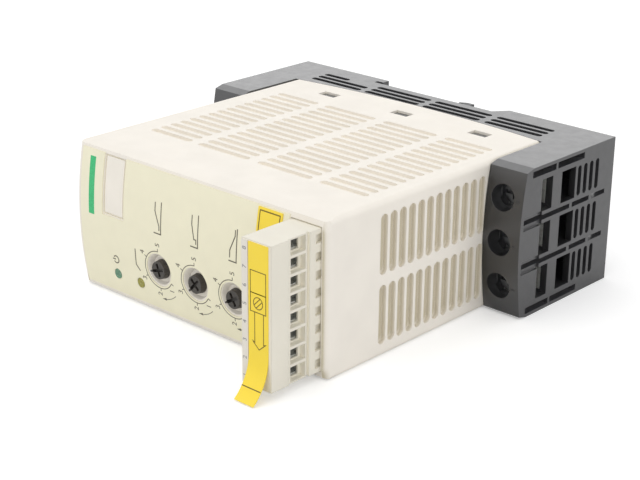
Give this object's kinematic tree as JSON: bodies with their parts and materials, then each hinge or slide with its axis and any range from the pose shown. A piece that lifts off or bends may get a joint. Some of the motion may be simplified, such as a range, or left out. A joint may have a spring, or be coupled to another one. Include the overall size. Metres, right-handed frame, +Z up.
{
  "type": "soft starter",
  "caption": "Compact rail-mounted motor soft starter: cream vented cover on a dark grey base with screw terminals, setting knobs, indicator lenses and a pluggable control terminal.",
  "frame": {"origin": "middle of the rail seat: mid rail width, on the channel floor, at mid housing width", "axes": "+Z up across the housing width as it lies on its side, +Y towards the rail, front face towards -Y, load terminals with the control plug towards +X"},
  "size_m": [0.124, 0.1352, 0.045],
  "materials": {
    "cream_plastic": "moulded, fine satin grain",
    "grey_plastic": "moulded, satin",
    "clip_plastic": "moulded, satin",
    "front_film": "printed film, semi-matt",
    "yellow_film": "printed film",
    "tag_plastic": "moulded, blank",
    "white_strip": "plain marking strip",
    "knob_black": "moulded, satin",
    "lens_green": "clear tinted plastic",
    "lens_yellow": "clear tinted plastic",
    "led_white": "moulded",
    "board_green": "solder mask",
    "header_green": "moulded",
    "trimmer_blue": "moulded",
    "relay_blue": "moulded",
    "module_black": "moulded epoxy",
    "capacitor_sleeve": "shrunk sleeve",
    "transformer_core": "varnished laminations",
    "steel": "zinc plated",
    "clamp_steel": "zinc plated",
    "tinned_copper": "tinned bus copper",
    "pin_gold": "plated",
    "aluminium": "extruded"
  },
  "bodies": {
    "housing": {"rear_base": "grey_plastic", "front_cover": "cream_plastic", "front_film": "front_film", "marker_tag": "tag_plastic", "yellow_sticker": "yellow_film", "start_ramp_trimmer": "trimmer_blue", "start_voltage_trimmer": "trimmer_blue", "stop_ramp_trimmer": "trimmer_blue", "power_lens": "lens_green", "run_lens": "lens_yellow", "power_led": "led_white", "run_led": "led_white", "control_board": "board_green", "power_board": "board_green", "riser_board": "board_green", "board_screws": "steel", "control_header": "header_green", "header_pins": "pin_gold", "line_busbars": "tinned_copper", "load_busbars": "tinned_copper", "line_clamps": "clamp_steel", "load_clamps": "clamp_steel", "line_screws": "steel", "load_screws": "steel", "heat_sink": "aluminium", "thyristor_modules": "module_black", "bypass_relay": "relay_blue", "supply_transformer": "transformer_core", "capacitors": "capacitor_sleeve", "rail_clip_spring": "steel"},
    "control_plug": {"plug_housing": "cream_plastic", "plug_clamps": "clamp_steel", "plug_screws": "steel", "plug_marker_strip": "white_strip", "plug_tape": "yellow_film"},
    "start_ramp_knob": {"start_ramp_knob": "knob_black"},
    "start_voltage_knob": {"start_voltage_knob": "knob_black"},
    "stop_ramp_knob": {"stop_ramp_knob": "knob_black"},
    "rail_clip": {"rail_clip": "clip_plastic"}
  },
  "joints": [
    {"name": "start_ramp_turn", "type": "hinge", "parent": "housing", "child": "start_ramp_knob", "pos_m": [-0.0035, -0.1035, -0.0081], "axis": [0, -1, 0], "range_deg": [-108, 132]},
    {"name": "start_voltage_turn", "type": "hinge", "parent": "housing", "child": "start_voltage_knob", "pos_m": [0.0115, -0.1035, -0.0081], "axis": [0, -1, 0], "range_deg": [-137, 103]},
    {"name": "stop_ramp_turn", "type": "hinge", "parent": "housing", "child": "stop_ramp_knob", "pos_m": [0.0265, -0.1035, -0.0081], "axis": [0, -1, 0], "range_deg": [-120, 120]},
    {"name": "plug_pull", "type": "slide", "parent": "housing", "child": "control_plug", "axis": [0, -1, 0], "range_m": [0, 0.02]},
    {"name": "clip_slide", "type": "slide", "parent": "housing", "child": "rail_clip", "axis": [1, 0, 0], "range_m": [0, 0.004], "stiffness_N_per_m": 1500, "springref_m": -0.002, "deforming": ["rail_clip_spring"]}
  ]
}
